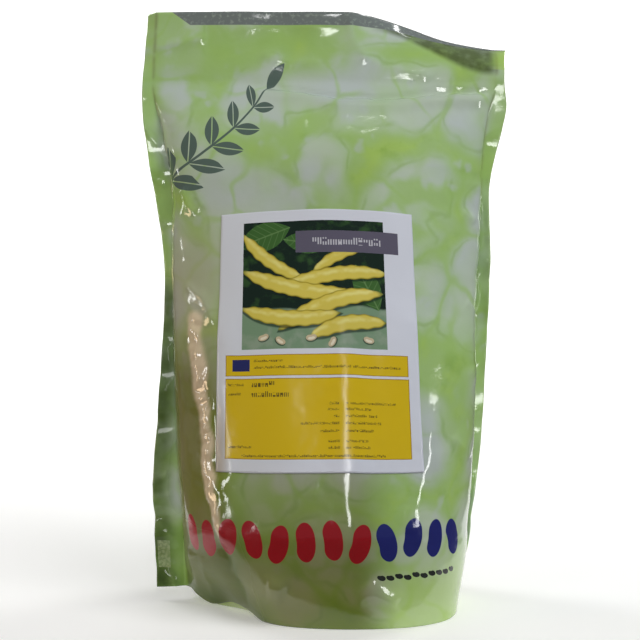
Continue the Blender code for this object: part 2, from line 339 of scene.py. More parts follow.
def sway(x, z, in_seal):
    """How far both panels together stand forward, where they lie on each other."""
    header = smooth(z, 272, 294)
    wave = 1.6 * noise(x, z, 66, 31) + 0.5 * noise(x, z, 21, 32)
    header_place, seal_place = pushed(x, z, 1, 9, 33), pushed(x, z, 1, 5, 36)
    wave = sum((crease(*header_place, *each) for each in HEADER_FOLDS), wave)
    ripple = 0.12 * in_seal * (noise(x * 0.2, z, 9, 35) + 0.6 * np.sin(z / 4.1))
    ripple = sum((crease(*seal_place, line, 0.7, 1.3) for line in SEAL_CREASES), ripple)
    return header * wave + ripple


def tan_patch(x, z):
    """1 where the film lies tight over a heap of seeds on the left, where it also carries a painted
    tan reflection, and 0 elsewhere.
    """
    gap, share = to_line(x + 2 * noise(x, z, 12, 41), z, TAN_CREASE)
    ends = smooth(share, 0, 0.1) * smooth(1 - share, 0, 0.1)
    return ends * np.exp(-(gap / (5.6 - 3.4 * share)) ** 2)


def under_label(x, z):
    """1 under the label, and 0 beside it."""
    up = (z - LABEL_BOTTOM) / (LABEL_TOP - LABEL_BOTTOM)
    centre = blend(*LABEL_CENTRE, up)
    across = np.abs(x - centre) - LABEL_HALF_WIDTH
    return (smooth(-across, -5, 1) * smooth(z, LABEL_BOTTOM - 5, LABEL_BOTTOM + 1)
            * fade(z, LABEL_TOP - 3, LABEL_TOP + 5))


def header_bend(x, z, root):
    """How far the front film stands out where the header bends back over the seeds."""
    above = z + 0.8 * noise(x, z, 8, 15) - np.interp(x, *np.array(TOP_CREASE).T)
    step = sum(height * np.exp(-((above - place) / width) ** 2)
               for place, height, width in (BEND_RIDGE, BEND_GROOVE))
    return smooth(x, *BEND_FROM_X) * smooth(root, 1, 10) * step


def front_relief(x, z, root):
    """How far the front film stands out of its smooth outline. root is how far a place is
    from the nearer seal's root.
    """
    wx = x + 1.5 * noise(x, z, 13, 1) + 0.7 * noise(x, z, 4.5, 2)
    wz = z + 1.5 * noise(x, z, 13, 3) + 0.7 * noise(x, z, 4.5, 4)
    bare = 1 - 0.93 * under_label(x, z)
    soft = 1.3 * noise(x, z * 0.5, 58, 5) + 0.5 * noise(x, z * 0.6, 24, 6)
    sharp = sum(crease(wx, wz, *each) for each in CREASES) * (0.45 + 0.55 * bare)
    sharp = sum((fold(wx, wz, *each) for each in FOLDS), sharp)
    sharp = sharp + bare * crinkles(wx, wz, **FRONT_CRINKLES)
    low = fade(z, 60, 190)
    facets = (0.25 - 0.15 * low) * crumple(wx, wz * 0.8, 19, 7) + 0.04 * crumple(wx, wz, 8, 8)
    lumps = tan_patch(x, z) * (1.3 * crumple(wx, wz, 7.5, 9) + 0.5 * noise(x, z, 4, 10))
    grain = 0.08 * noise(x, z, 11, 12) + 0.02 * noise(x, z, 4, 13)
    pucker = 0.75 * noise(x * 0.18, wz, 6.5, 14) * np.exp(-np.maximum(root, 0) / 9)
    pucker = pucker * smooth(root, 1, 6) * smooth(z, 3, 20) * fade(z, 270, 286)
    body = smooth(z, *FOOT_RISE) * fade(z, *FRONT_TOP) * smooth(root, *SEAL_RISE)
    relief = body * (soft + sharp + bare * (facets + lumps + grain))
    return relief + pucker + header_bend(x, z, root)


def back_relief(x, z, root):
    """How far the back film stands out of its smooth outline."""
    wx, wz = pushed(x, z, 1.5, 12, 51)
    soft = 1.5 * noise(x, z * 0.45, 55, 53) + 0.6 * noise(x, z * 0.6, 23, 54)
    facets = 0.5 * crumple(wx, wz * 0.7, 23, 55) + 0.15 * crumple(wx, wz, 9, 56)
    body = smooth(z, *FOOT_RISE) * fade(z, *BACK_TOP) * smooth(root, *SEAL_RISE)
    return body * (soft + facets + crinkles(wx, wz, **BACK_CRINKLES))


class Panel:
    """One film panel, as tables of where each share of its width lies at each height."""

    def __init__(self, side):
        self.side = side
        self.levels = np.linspace(0, HEIGHT, 332)
        self.shares = np.linspace(0, 1, 501)
        self.x = np.zeros((len(self.levels), len(self.shares)))
        self.y, self.width = np.zeros_like(self.x), np.zeros(len(self.levels))
        xs, ys = sections(np.maximum(self.levels, BELLY_HEIGHT), side)
        foot_x, foot_y, _ = along(*foot_line(side), self.shares)
        for row, level in enumerate(self.levels):
            x, y, self.width[row] = along(xs[row], ys[row], self.shares)
            spread = math.sin(math.pi / 2 * min(level / BELLY_HEIGHT, 1))
            self.x[row] = blend(foot_x, x, spread)
            self.y[row] = blend(foot_y, y, spread)
        self.left_seal = np.hypot(xs[:, 1] - xs[:, 0], ys[:, 1] - ys[:, 0])
        self.right_seal = np.hypot(xs[:, -1] - xs[:, -2], ys[:, -1] - ys[:, -2])

    def read(self, table, share, z):
        row = np.clip(z / HEIGHT, 0, 1) * (len(self.levels) - 1)
        column = np.clip(share, 0, 1) * (len(self.shares) - 1)
        i = np.clip(row.astype(int), 0, len(self.levels) - 2)
        j = np.clip(column.astype(int), 0, len(self.shares) - 2)
        u, v = row - i, column - j
        lower = table[i, j] * (1 - v) + table[i, j + 1] * v
        upper = table[i + 1, j] * (1 - v) + table[i + 1, j + 1] * v
        return lower * (1 - u) + upper * u

    def seams(self, share, z):
        """How far the left and the right edge are, and the nearer seal's root, along the film."""
        width = np.interp(z, self.levels, self.width)
        left, right = share * width, (1 - share) * width
        root = np.minimum(left - np.interp(z, self.levels, self.left_seal),
                          right - np.interp(z, self.levels, self.right_seal))
        return left, right, root

    def share_at(self, x, z):
        """The share of the panel's width at which it passes x at height z."""
        share, width = np.full(np.shape(x), 0.5), np.interp(z, self.levels, self.width)
        for _ in range(12):
            share = share + (x - self.read(self.x, share, z)) / width
        return share

    def lay(self, share, z, smooth_only=False):
        """Points of the creased film for grids of shares and heights, in millimetres."""
        x, y = self.read(self.x, share, z), self.read(self.y, share, z)
        _, _, root = self.seams(share, z)
        y = y - sway(x, z, np.maximum(-root, 0))
        points = np.dstack(curled(x, y, z, self.side * SEAL_GAP / 2))
        if smooth_only:
            return points
        relief = front_relief if self.side < 0 else back_relief
        return points + outward_normals(points, self.side) * relief(x, z, root)[:, :, None]


def sheet_grid(columns, rows):
    """Shares across and along a sheet."""
    return np.meshgrid(np.linspace(0, 1, columns + 1), np.linspace(0, 1, rows + 1))


def panel_grid(columns, rows):
    """Shares and heights for a whole panel, closer together at the sides and the foot."""
    share = np.linspace(0, 1, columns + 1)
    share = share - 0.3 * np.sin(2 * np.pi * share) / (2 * np.pi)
    lift = np.maximum(curve(FOOT_LIFT, share), FOOT_CLEARANCE)
    climb = np.linspace(0, 1, rows + 1) ** 1.08
    z = lift[None, :] + climb[:, None] * (HEIGHT - lift)[None, :]
    return np.broadcast_to(share, z.shape), z


def grid_object(name, points, uv_maps, marks, made_of):
    """A grid of points, in millimetres, as an object with flat coordinates and marks."""
    rows, columns = points.shape[:2]
    bm = bmesh.new()
    bmesh.ops.create_grid(bm, x_segments=columns - 1, y_segments=rows - 1, size=1.0)
    mesh = bpy.data.meshes.new(name)
    bm.to_mesh(mesh)
    bm.free()
    place = np.zeros(len(mesh.vertices) * 3)
    mesh.vertices.foreach_get("co", place)
    place = place.reshape(-1, 3)
    column = np.rint((place[:, 0] + 1) / 2 * (columns - 1)).astype(int)
    row = np.rint((place[:, 1] + 1) / 2 * (rows - 1)).astype(int)
    mesh.vertices.foreach_set("co", (points[row, column] * MM).ravel())
    corner = np.zeros(len(mesh.loops), dtype=np.int32)
    mesh.loops.foreach_get("vertex_index", corner)
    for layer, (u, v) in uv_maps.items():
        values = np.stack([u[row, column][corner], v[row, column][corner]], axis=1) * MM
        mesh.uv_layers.new(name=layer).data.foreach_set("uv", values.ravel())
    for mark, values in marks.items():
        made = mesh.attributes.new(mark, "FLOAT", "POINT")
        made.data.foreach_set("value", values[row, column].astype(np.float32))
    mesh.materials.append(made_of)
    mesh.shade_smooth()
    return link_object(name, mesh)


def thicken(obj, thickness_mm, outwards):
    """Gives an open grid its thickness, on the side of its normals if outwards is 1."""
    solidify = obj.modifiers.new("thickness", "SOLIDIFY")
    solidify.thickness = thickness_mm * MM
    solidify.offset = outwards
    depsgraph = bpy.context.evaluated_depsgraph_get()
    made = bpy.data.meshes.new_from_object(obj.evaluated_get(depsgraph))
    obj.modifiers.clear()
    obj.data = made


def feed(node, inputs):
    """Sets inputs of a node to numbers, places or colours, or links fields or sockets to them."""
    for name, value in inputs.items():
        slot = node.inputs[name]
        if isinstance(value, Field):
            value = value.socket
        if isinstance(value, bpy.types.NodeSocket):
            slot.id_data.links.new(value, slot)
        else:
            slot.default_value = (*value, 1) if slot.type == "RGBA" else value


def add_node(tree, kind, inputs, **settings):
    """A shader node with these inputs and settings."""
    node = tree.nodes.new("ShaderNode" + kind)
    for name, value in settings.items():
        setattr(node, name, value)
    feed(node, inputs)
    return node


def new_material(name):
    made = bpy.data.materials.new(name)
    made.use_nodes = True
    return made, made.node_tree, made.node_tree.nodes["Principled BSDF"]


def link_object(name, data):
    obj = bpy.data.objects.new(name, data)
    bpy.context.scene.collection.objects.link(obj)
    return obj


class Field:
    """A number that varies over a surface, worked out by shader nodes."""

    def __init__(self, socket):
        self.socket, self.tree = socket, socket.id_data

    def math(self, operation, *others):
        inputs = dict(enumerate((self, *others)))
        return Field(add_node(self.tree, "Math", inputs, operation=operation).outputs[0])

    def __add__(self, other):
        return self.math("ADD", other)

    def __sub__(self, other):
        return self.math("SUBTRACT", other)

    def __mul__(self, other):
        return self.math("MULTIPLY", other)

    def __rsub__(self, other):
        return self.math("MULTIPLY_ADD", -1, other)

    def __abs__(self):
        return self.math("ABSOLUTE")

    __radd__, __rmul__ = __add__, __mul__

    def rise(self, low, high):
        """0 below low and 1 above high, with a smooth step between them."""
        inputs = {"Value": self, "From Min": low, "From Max": high}
        node = add_node(self.tree, "MapRange", inputs, interpolation_type="SMOOTHSTEP")
        return Field(node.outputs["Result"])

    def fade(self, low, high):
        """1 below low and 0 above high, with a smooth step between them."""
        return 1 - self.rise(low, high)

    def between(self, low, high):
        """1 between low and high, and 0 outside them."""
        return self.math("COMPARE", (low + high) / 2, (high - low) / 2)


class Design:
    """A drawing in a node tree, in flat coordinates in millimetres."""

    def __init__(self, tree, place, colour):
        self.tree, self.place, self.colour = tree, place, colour
        self.x, self.y = self.fields(place)

    def fields(self, place):
        split = add_node(self.tree, "SeparateXYZ", {0: place}).outputs
        return Field(split["X"]), Field(split["Y"])

    def layer(self, draw, *details):
        """Draws a part of the design in a node group, which keeps every tree short."""
        group = bpy.data.node_groups.new(draw.__name__, "ShaderNodeTree")
        for name, kind in (("Place", "NodeSocketVector"), ("Colour", "NodeSocketColor")):
            group.interface.new_socket(name, in_out="INPUT", socket_type=kind)
        group.interface.new_socket("Colour", in_out="OUTPUT", socket_type="NodeSocketColor")
        start = group.nodes.new("NodeGroupInput")
        part = Design(group, start.outputs["Place"], start.outputs["Colour"])
        draw(part, *details)
        feed(group.nodes.new("NodeGroupOutput"), {"Colour": part.colour})
        inputs = {"Place": self.place, "Colour": self.colour}
        self.colour = add_node(self.tree, "Group", inputs, node_tree=group).outputs["Colour"]

    def moved(self, place, shift):
        return add_node(self.tree, "VectorMath", {0: place, 1: shift}, operation="ADD").outputs[0]

    def noise(self, size, detail=2.0, seed=0.0):
        """Smooth noise from 0 to 1, with lumps of this size."""
        place = self.moved(self.place, (0, 0, seed * size))
        inputs = {"Vector": place, "Scale": 1 / size, "Detail": detail}
        return Field(add_node(self.tree, "TexNoise", inputs).outputs["Fac"])

    def warped(self, size, reach, seed=0.0):
        """The place, pushed about by noise, so that straight lines run crooked."""
        noise = self.noise(size, seed=seed).socket.node
        inputs = {0: noise.outputs["Color"], 1: (2 * reach, 2 * reach, 0), 2: (-reach, -reach, 0)}
        push = add_node(self.tree, "VectorMath", inputs, operation="MULTIPLY_ADD")
        return self.moved(self.place, push.outputs[0])

    def cells(self, size, place, feature="SMOOTH_F1", seed=0.0):
        """How far it is to the middle, or the edge, of cells of this size, in cell sizes."""
        inputs = {"Vector": self.moved(place, (seed * size, 0, 0)), "Scale": 1 / size}
        if feature == "SMOOTH_F1":
            inputs["Smoothness"] = 0.35
        node = add_node(self.tree, "TexVoronoi", inputs, voronoi_dimensions="2D", feature=feature)
        return Field(node.outputs["Distance"])

    def turned(self, x, y, degrees):
        """Coordinates along and across an axis through (x, y) at this angle."""
        right, up = self.x - x, self.y - y
        angle = math.radians(degrees)
        cos, sin = math.cos(angle), math.sin(angle)
        along = up.math("MULTIPLY_ADD", sin, right * cos)
        return along, right.math("MULTIPLY_ADD", -sin, up * cos)

    def box(self, left, right, bottom, top):
        return self.x.between(left, right) * self.y.between(bottom, top)

    def ink(self, mask, colour, blend="MIX"):
        """Prints a colour wherever the mask is 1."""
        inputs = {"Factor": mask, "A": self.colour, "B": colour}
        node = add_node(self.tree, "Mix", inputs, data_type="RGBA", blend_type=blend)
        self.colour = node.outputs["Result"]

    def shade(self, mask, tint):
        """Multiplies the colour by a tint wherever the mask is 1."""
        self.ink(mask, tint, "MULTIPLY")


class Print(Design):
    """A material whose colour is a drawing on a UV map."""

    def __init__(self, name, uv_map, roughness, coat, ground):
        self.material, self.tree, self.shader = new_material(name)
        feed(self.shader, {"Roughness": roughness, "Coat Weight": coat, "Coat Roughness": 0.06})
        super().__init__(self.tree, self.flat(uv_map), ground)

    def flat(self, uv_map):
        """A UV map's coordinates, in millimetres."""
        inputs = {0: add_node(self.tree, "UVMap", {}, uv_map=uv_map).outputs["UV"],
                  "Scale": 1 / MM}
        return add_node(self.tree, "VectorMath", inputs, operation="SCALE").outputs["Vector"]

    def mark(self, name):
        return Field(add_node(self.tree, "Attribute", {}, attribute_name=name).outputs["Fac"])

    def finish(self, bump, bump_height, roughness):
        inputs = {"Strength": 1.0, "Distance": bump_height * MM, "Height": bump}
        normal = add_node(self.tree, "Bump", inputs).outputs["Normal"]
        feed(self.shader, {"Base Color": self.colour, "Roughness": roughness, "Normal": normal})
        return self.material


# The film's colours: inks of its print, and tints for painted shade and painted reflections
PALE, PALE_BLUE, PALE_GREEN = (0.55, 0.66, 0.52), (0.55, 0.63, 0.60), (0.48, 0.65, 0.38)
LEAF, LIME, DEEP = (0.38, 0.60, 0.17), (0.44, 0.66, 0.12), (0.24, 0.44, 0.07)
SEEDS_AND_SHADE_TINT, TAN = (0.42, 0.37, 0.17), (0.86, 0.68, 0.49)
SEAL_GREEN_AND_SHADE, WELD = (0.095, 0.16, 0.027), (0.62, 0.66, 0.62)
FLANK_SHADE_AND_REFLECTION, BROWN = (0.46, 0.43, 0.27), (0.20, 0.19, 0.09)
SLATE, SPRIG, OLIVE = (0.19, 0.22, 0.21), (0.10, 0.15, 0.125), (0.085, 0.12, 0.035)
SEED_RED, SEED_NAVY, SEED_BLACK = (0.33, 0.006, 0.012), (0.014, 0.02, 0.16), (0.02, 0.025, 0.022)

# Where the masks of the film's colours rise or fade, across and up
# The left seal is dark green up to its top: its own print, and painted shade under the bulge
SEAL_FADE, DARK_SEAL_FADE, DARK_SEAL_TOP = (4, 15), (3, 14), (166, 186)
WELD_ACROSS, WELD_UP = (1.4, 8.4), (17, 32)
HEADER_GREEN_UP, HEADER_GREEN_ACROSS = (286, 302), (0, 30)
LIME_UP, LIME_ACROSS = (14, 46), (26, 42)
# Painted shade at the left corner of the foot
CORNER_UP, CORNER_ACROSS, CORNER_SHADE = (28, 60), (-48, -22), (0.5, 0.58, 0.3)
# Painted shade along the bottom of the foot
FOOT_UP, FOOT_ACROSS, FOOT_SHADE = (6, 22), (20, 42), (0.72, 0.76, 0.55)
# The film's roughness, and what its scuffs, its dark seal and its left corner add to it
FILM_ROUGH, SCUFFS_ROUGH, DARK_SEAL_ROUGH, CORNER_ROUGH = 0.09, 0.1, 0.35, 0.45

# The dark band along the top. It and an olive strip of painted shade under it hang lower and lower
# on the curl
BAND_BOTTOM, BAND_LEFT, BAND_SLANT = 323.0, -80.0, 1.4
BAND_DROP, BAND_DROP_ACROSS = 9, (34, 96)
OLIVE_DROP, OLIVE_DROP_ACROSS = 28, (30, 96)
OLIVE_START, OLIVE_END = (22, 40), (94, 104)
# Where a painted glow of light through the film makes the curl's right end lime
LIME_END, LIME_END_BOTTOM = (94, 102), 296
# The row of printed seeds
ROW_MIDDLE, ROW_LEFT, ROW_PITCH, ROW_SEEDS, ROW_REDS = 43.0, -76.0, 13.2, 12, 8
SPECK_MIDDLE, SPECK_LEFT, SPECK_PITCH, SPECKS = 25.5, 31.0, 4.6, 10
# The printed sprig: where its stem starts, how far it reaches and its angle in degrees
SPRIG_FOOT, SPRIG_LENGTH, SPRIG_ANGLE, LEAF_PITCH = (-92.0, 229.0), 86.0, 44, 16.0


def marble(art):
    """Pale rounded cells between watery veins of green."""
    drift = art.warped(40, 18)
    amount = art.noise(80, seed=4)
    uneven = art.noise(15, 3, seed=6)
    art.ink(art.noise(60, 1, seed=1).rise(0.44, 0.62), PALE_BLUE)
    art.ink(art.noise(45, seed=2).rise(0.42, 0.68) * 0.9, PALE_GREEN)
    field = art.cells(35, drift) + (amount - 0.5) * 0.8 + (uneven - 0.5) * 0.2
    art.ink(field.rise(0.31, 0.70) * 0.85, LEAF)
    rim = 1 - abs(field - 0.5 - (uneven - 0.5) * 0.4).rise(0, 0.06)
    art.ink(rim * art.noise(26, seed=13).rise(0.4, 0.58) * 0.34, DEEP)
    edge = art.cells(35, drift, "DISTANCE_TO_EDGE")
    thread = 1 - (edge + (uneven - 0.5) * 0.08).rise(0, 0.08)
    art.ink(thread * art.noise(40, seed=14).rise(0.36, 0.6) * 0.55, LEAF)
    small = art.cells(17, art.warped(18, 8, seed=2), seed=3)
    busy = art.noise(60, seed=9).rise(0.44, 0.6)
    art.ink((small + (uneven - 0.5) * 0.3).rise(0.3, 0.66) * busy * 0.75, LEAF)
    art.ink(field.rise(0.56, 0.85) * art.noise(22, 3, seed=12).rise(0.4, 0.62) * 0.7, LIME)
    art.ink(field.rise(0.5, 0.9) * art.noise(15, 3, seed=15).rise(0.5, 0.72) * 0.6, DEEP)
    blots = art.cells(13, art.warped(12, 5, seed=5), seed=7)
    rare = art.noise(30, seed=16).rise(0.52, 0.62)
    art.ink((1 - blots.rise(0.1, 0.34)) * rare * 0.5, PALE_BLUE)


def kidney(u, v, half_length, half_width):
    """1 inside a seed that lies along u and is dented above its middle, and 0 outside it."""
    along, across = u * (1 / half_length), v * (1 / half_width)
    along2 = along * along
    dent = (along2 * -7 - (across - 1) * (across - 1) * 5).math("EXPONENT") * 0.6
    return (1 - along2 - across * across - dent).rise(0, 0.07)


def leaf(u, v, half_length, half_width):
    """1 inside a pointed leaf that lies along u, and 0 outside it."""
    along = u * (1 / half_length)
    return (half_width * (1 - along * along) - abs(v)).rise(-0.15, 0.15)


def seed_row(art):
    """A row of seeds across the front's foot: red ones, then navy ones over black specks."""
    cell = ((art.x - ROW_LEFT) * (1 / ROW_PITCH)).math("FLOOR")
    u = art.x - ROW_LEFT - (cell + 0.5) * ROW_PITCH
    v = art.y - ROW_MIDDLE + (cell * 1.9).math("SINE") * 1.2
    angle = (cell * 2.4 + 0.8).math("SINE") * 0.28 + math.pi / 2
    cos, sin = angle.math("COSINE"), angle.math("SINE")
    seed = kidney(u * cos + v * sin, v * cos - u * sin, 9.4, 5.3)
    row = cell.between(-0.5, ROW_SEEDS - 0.5)
    navy = cell.rise(ROW_REDS - 0.6, ROW_REDS - 0.4)
    art.ink(seed * row * (1 - navy), SEED_RED)
    art.ink(seed * row * navy, SEED_NAVY)
    speck = ((art.x - SPECK_LEFT) * (1 / SPECK_PITCH)).math("FLOOR")
    u = art.x - SPECK_LEFT - (speck + 0.5) * SPECK_PITCH
    v = art.y - SPECK_MIDDLE + (speck * 2.7).math("SINE") * 0.5
    art.ink(kidney(u + v * 0.4, v, 2.1, 1.5) * speck.between(-0.5, SPECKS - 0.5), SEED_BLACK)


def sprig(art):
    """A stem with pairs of pointed leaves, smaller towards its tip."""
    along, across = art.turned(*SPRIG_FOOT, SPRIG_ANGLE)
    across = across.math("ADD", (along * (math.pi / SPRIG_LENGTH)).math("SINE") * 7)
    span = along.between(0, SPRIG_LENGTH)
    size = along * (-0.5 / SPRIG_LENGTH) + 1
    stem = (size * 0.9 - abs(across)).rise(-0.15, 0.15) * span
    cell = (along * (1 / LEAF_PITCH)).math("FLOOR")
    scale = cell * (-0.62 * LEAF_PITCH / SPRIG_LENGTH) + 1.1
    step = (along - cell * LEAF_PITCH - 3.0).math("DIVIDE", scale)
    side = abs(across).math("DIVIDE", scale)
    lean = math.radians(50)
    u = step * math.cos(lean) + side * math.sin(lean) - 11.0
    v = side * math.cos(lean) - step * math.sin(lean)
    rib = (abs(v) - 0.3).rise(-0.1, 0.15)
    leaves = leaf(u, v, 10.5, 4.6) * rib * along.between(0, SPRIG_LENGTH - 6)
    tip = leaf(along - SPRIG_LENGTH - 4, across, 9, 3.6)
    art.ink(stem.math("MAXIMUM", leaves).math("MAXIMUM", tip), SPRIG)


def header_band(art):
    """A dark, worn band along the top, cut off at a slant on the left, with painted olive shade and
    a painted lime glow of light through the film on the curl.
    """
    slant = art.x - (BAND_BOTTOM - art.y) * BAND_SLANT
    up = art.y + art.x.rise(*BAND_DROP_ACROSS) * BAND_DROP
    lower = art.y + art.x.rise(*OLIVE_DROP_ACROSS) * OLIVE_DROP
    # Painted olive shade where the curl turns away from the light
    curl = lower.rise(BAND_BOTTOM - 4, BAND_BOTTOM + 1) * art.x.rise(*OLIVE_START)
    curl = curl * (art.noise(9, 3, seed=27).rise(0.2, 0.6) * 0.4 + 0.6)
    art.ink(curl * art.x.fade(*OLIVE_END) * 0.92, OLIVE)
    # Painted lime glow of light through the film at the curl's right end
    art.ink(art.x.rise(*LIME_END) * art.y.between(LIME_END_BOTTOM, BAND_BOTTOM + 9) * 0.6, LIME)
    band = up.rise(BAND_BOTTOM - 0.2, BAND_BOTTOM + 0.2)
    band = band * slant.rise(BAND_LEFT - 0.3, BAND_LEFT + 0.3)
    art.ink(band, SLATE)
    art.ink(band * art.noise(2.2, 3, seed=26).rise(0.5, 0.7) * 0.3, PALE)


def film_material(name, layers):
    """Glossy film with a marbled print, over seeds that darken it where they lie behind it, with
    painted shade and painted tan and warm reflections on it.
    """
    art = Print(name, "film", 0.2, 0.5, PALE)
    art.layer(marble)
    from_left, from_right = art.fields(art.flat("seam"))
    seal = from_left.math("MINIMUM", from_right).fade(*SEAL_FADE)
    art.ink(seal * art.noise(30, seed=21).rise(0.36, 0.56) * 0.75, LEAF)
    # The left seal's dark green: its own print, and painted shade under the bulge
    dark = from_left.fade(*DARK_SEAL_FADE) * art.y.fade(*DARK_SEAL_TOP)
    art.ink(dark * (art.noise(12, seed=23).rise(0.3, 0.7) * 0.3 + 0.68), SEAL_GREEN_AND_SHADE)
    weld = from_left.between(*WELD_ACROSS) * art.y.between(*WELD_UP)
    art.ink(weld * (art.noise(1.6, seed=24).rise(0.35, 0.65) * 0.5 + 0.4), WELD)
    header = art.y.rise(*HEADER_GREEN_UP) * art.x.fade(*HEADER_GREEN_ACROSS)
    art.ink(header * art.noise(24, 3, seed=28).rise(0.3, 0.5) * 0.75, LEAF)
    art.ink(art.y.fade(*LIME_UP) * art.x.rise(*LIME_ACROSS) * 0.6, LIME)
    # Painted warm reflection and shade on the left flank
    art.ink(art.mark("flank") * 0.55, FLANK_SHADE_AND_REFLECTION)
    art.ink(art.mark("root") * art.noise(14, seed=29).rise(0.3, 0.6) * 0.55, BROWN)
    # Seeds behind the film darken it, and painted shade darkens it more towards the foot and on the
    # left, less on the right
    art.shade(art.mark("filled"), SEEDS_AND_SHADE_TINT)
    # Painted shade at the left corner of the foot
    corner = art.y.fade(*CORNER_UP) * art.x.fade(*CORNER_ACROSS)
    art.shade(corner, CORNER_SHADE)
    # Painted shade along the bottom of the foot
    art.shade(art.y.fade(*FOOT_UP) * art.x.fade(*FOOT_ACROSS), FOOT_SHADE)
    # Painted tan reflection along the lumpy crease on the left
    art.ink(art.mark("tan_reflection") * 0.7, TAN)
    for layer in layers:
        art.layer(layer)
    facets = art.cells(5, art.warped(6, 2, seed=8), "DISTANCE_TO_EDGE")
    scuffs = art.noise(26, 4, seed=25).rise(0.45, 0.75) * SCUFFS_ROUGH
    roughness = scuffs + dark * DARK_SEAL_ROUGH + corner * CORNER_ROUGH + FILM_ROUGH
    return art.finish(art.noise(6, 3, seed=20) + facets, 0.05, roughness)


# The label's print, from its lower left corner
PAPER, PANEL_YELLOW, PANEL_EDGE = (0.74, 0.77, 0.86), (0.74, 0.52, 0.008), (0.42, 0.24, 0.012)
RULE, BLOCK_BLUE, BROWN_SHADE = (0.05, 0.035, 0.01), (0.02, 0.025, 0.14), (0.36, 0.30, 0.20)
BANNER, BANNER_TEXT = (0.12, 0.11, 0.16), (0.62, 0.62, 0.68)
PICTURE = (12.6, 88.7, 63.7, 134.6)
SHADE_GREEN, LEAF_GREEN, CLOTH_GREEN = (0.006, 0.02, 0.012), (0.05, 0.14, 0.03), (0.20, 0.32, 0.20)
POD_DARK, POD_MID, POD_LIGHT = (0.36, 0.28, 0.02), (0.72, 0.60, 0.10), (0.86, 0.80, 0.28)
# Each pod's middle, angle in degrees, half length and width, and bend
PODS = [
    (70, 118, 24, 24, 3.4, 0.006), (27, 112, -38, 22, 3.6, -0.007), (60, 104, 9, 31, 4.2, 0.004),
    (42, 96, -13, 32, 4.6, -0.004), (58, 88, 20, 30, 4.6, 0.005), (38, 80, -4, 27, 4.4, -0.006),
    (68, 77, 11, 21, 4.2, 0.007),
]
LEAVES = [(24, 126, 20, 15, 8), (79, 97, -65, 14, 7), (47, 122, -10, 13, 6)]
LEAF_RIB, CLOTH_PALE = (0.14, 0.27, 0.09), (0.36, 0.42, 0.34)
SEED_SHADE, SEED_LIGHT = (0.62, 0.52, 0.34), (0.84, 0.78, 0.62)
LOOSE_SEEDS = [(24, 70, 20), (33, 68, -35), (49, 69.5, 10), (60, 67, 60), (79, 68.5, -15)]

# Boxes on the label, as their left, right, bottom and top
BANNER_BOX, BLOCK_BOX = (41.0, 96.6, 116.6, 128.8), (8.0, 16.9, 52.2, 58.4)
PANEL_BOXES = [(4.7, 99.2, 49.7, 60.8), (4.7, 99.4, 6.9, 48.4)]
PANEL_EDGE_WIDTH = 0.4
# Painted shade makes the paper darker on the left, and painted brown shade and reflection darken
# its lower left edge
LEFT_SHADE, LEFT_TINT = (5, 60), (0.93, 0.93, 0.89)
BROWN_SHADE_ACROSS, BROWN_SHADE_UP = (1, 9), (12, 45)

# The heights of text, and its lines, as a left end, a right end and the height of the middle
BANNER_TEXT_SIZE, LARGE_TEXT_SIZE, SMALL_TEXT_SIZE = 4.2, 2.9, 1.4
BANNER_LINES = [(50, 87, 122.7)]
LARGE_LINES = [(18, 30, 45.4), (18, 37, 40.2)]
SMALL_LINES = [(19, 34, 57.6), (19, 95, 54.2), (6, 14, 45.3), (6, 12.5, 40.4), (6, 18, 13.2),
               (13, 86, 8.7)]
TABLE_LINES = [(58, 92, 35.3), (57, 79, 32.3), (60, 82, 28.8), (43, 84, 25.2), (53, 80, 21.3),
               (57, 77, 16.1), (57, 78, 12.8)]
TABLE_GAP = (63, 66)
# The cell of a letter-like mark, as shares of the text's height
MARK_PITCH, MARK_ROW = 0.66, 0.36


def pod(art, x, y, degrees, half_length, half_width, bend):
    """A bean pod: pointed ends, a light back and a row of swellings over its seeds."""
    window = art.box(*PICTURE)
    u, v = art.turned(x, y, degrees)
    v = v.math("ADD", u * u * bend)
    along = u * (1 / half_length)
    along2 = along * along
    width = half_width * (1 - along2 * along2)
    swell = (u * 0.9 + x).math("SINE") * 0.25
    depth = width + swell - abs(v)
    shape = depth.rise(-0.1, 0.35) * window
    art.ink((width + 0.9 - abs(v + 0.8)).rise(-0.1, 0.9) * window * 0.75, SHADE_GREEN)
    art.ink(shape, POD_DARK)
    art.ink(shape * depth.rise(0.1, 1.2), POD_MID)
    light = (1.9 - abs(v - half_width * 0.28 + swell)).rise(0, 1.9)
    art.ink(shape * light * art.noise(7, 2, seed=x).rise(0.3, 0.6) * 0.8, POD_LIGHT)
    art.ink(shape * abs(along).rise(0.86, 0.97) * 0.6, LEAF_GREEN)


def picture_leaf(art, x, y, degrees, half_length, half_width):
    u, v = art.turned(x, y, degrees)
    blade = leaf(u, v, half_length, half_width) * art.box(*PICTURE)
    art.ink(blade, LEAF_GREEN)
    art.ink(blade * (1 - abs(v).rise(0.2, 0.5)) * 0.8, LEAF_RIB)
    art.ink(blade * ((u + abs(v) * 0.8) * 1.7).math("SINE").rise(0.8, 1.0) * 0.5, LEAF_RIB)


def loose_seed(art, x, y, degrees):
    window = art.box(*PICTURE)
    u, v = art.turned(x, y, degrees)
    art.ink(kidney(u, v + 0.5, 3.2, 2.1) * window * 0.7, SHADE_GREEN)
    seed = kidney(u, v, 2.9, 1.8) * window
    art.ink(seed, SEED_SHADE)
    art.ink(seed * kidney(u, v + 0.4, 1.9, 0.8), SEED_LIGHT)


def picture_ground(art):
    """Dark foliage, and a grey-green cloth below it."""
    window = art.box(*PICTURE)
    art.ink(window, SHADE_GREEN)
    art.ink(window * art.noise(9, 3, seed=31).rise(0.5, 0.7) * 0.5, LEAF_GREEN)
    cloth = (1 - ((art.noise(30, 1, seed=33) - 0.5) * 10 + art.y).rise(84, 86)) * window
    art.ink(cloth, CLOTH_GREEN)
    art.ink(cloth * art.noise(8, 3, seed=34).rise(0.45, 0.7) * 0.5, CLOTH_PALE)


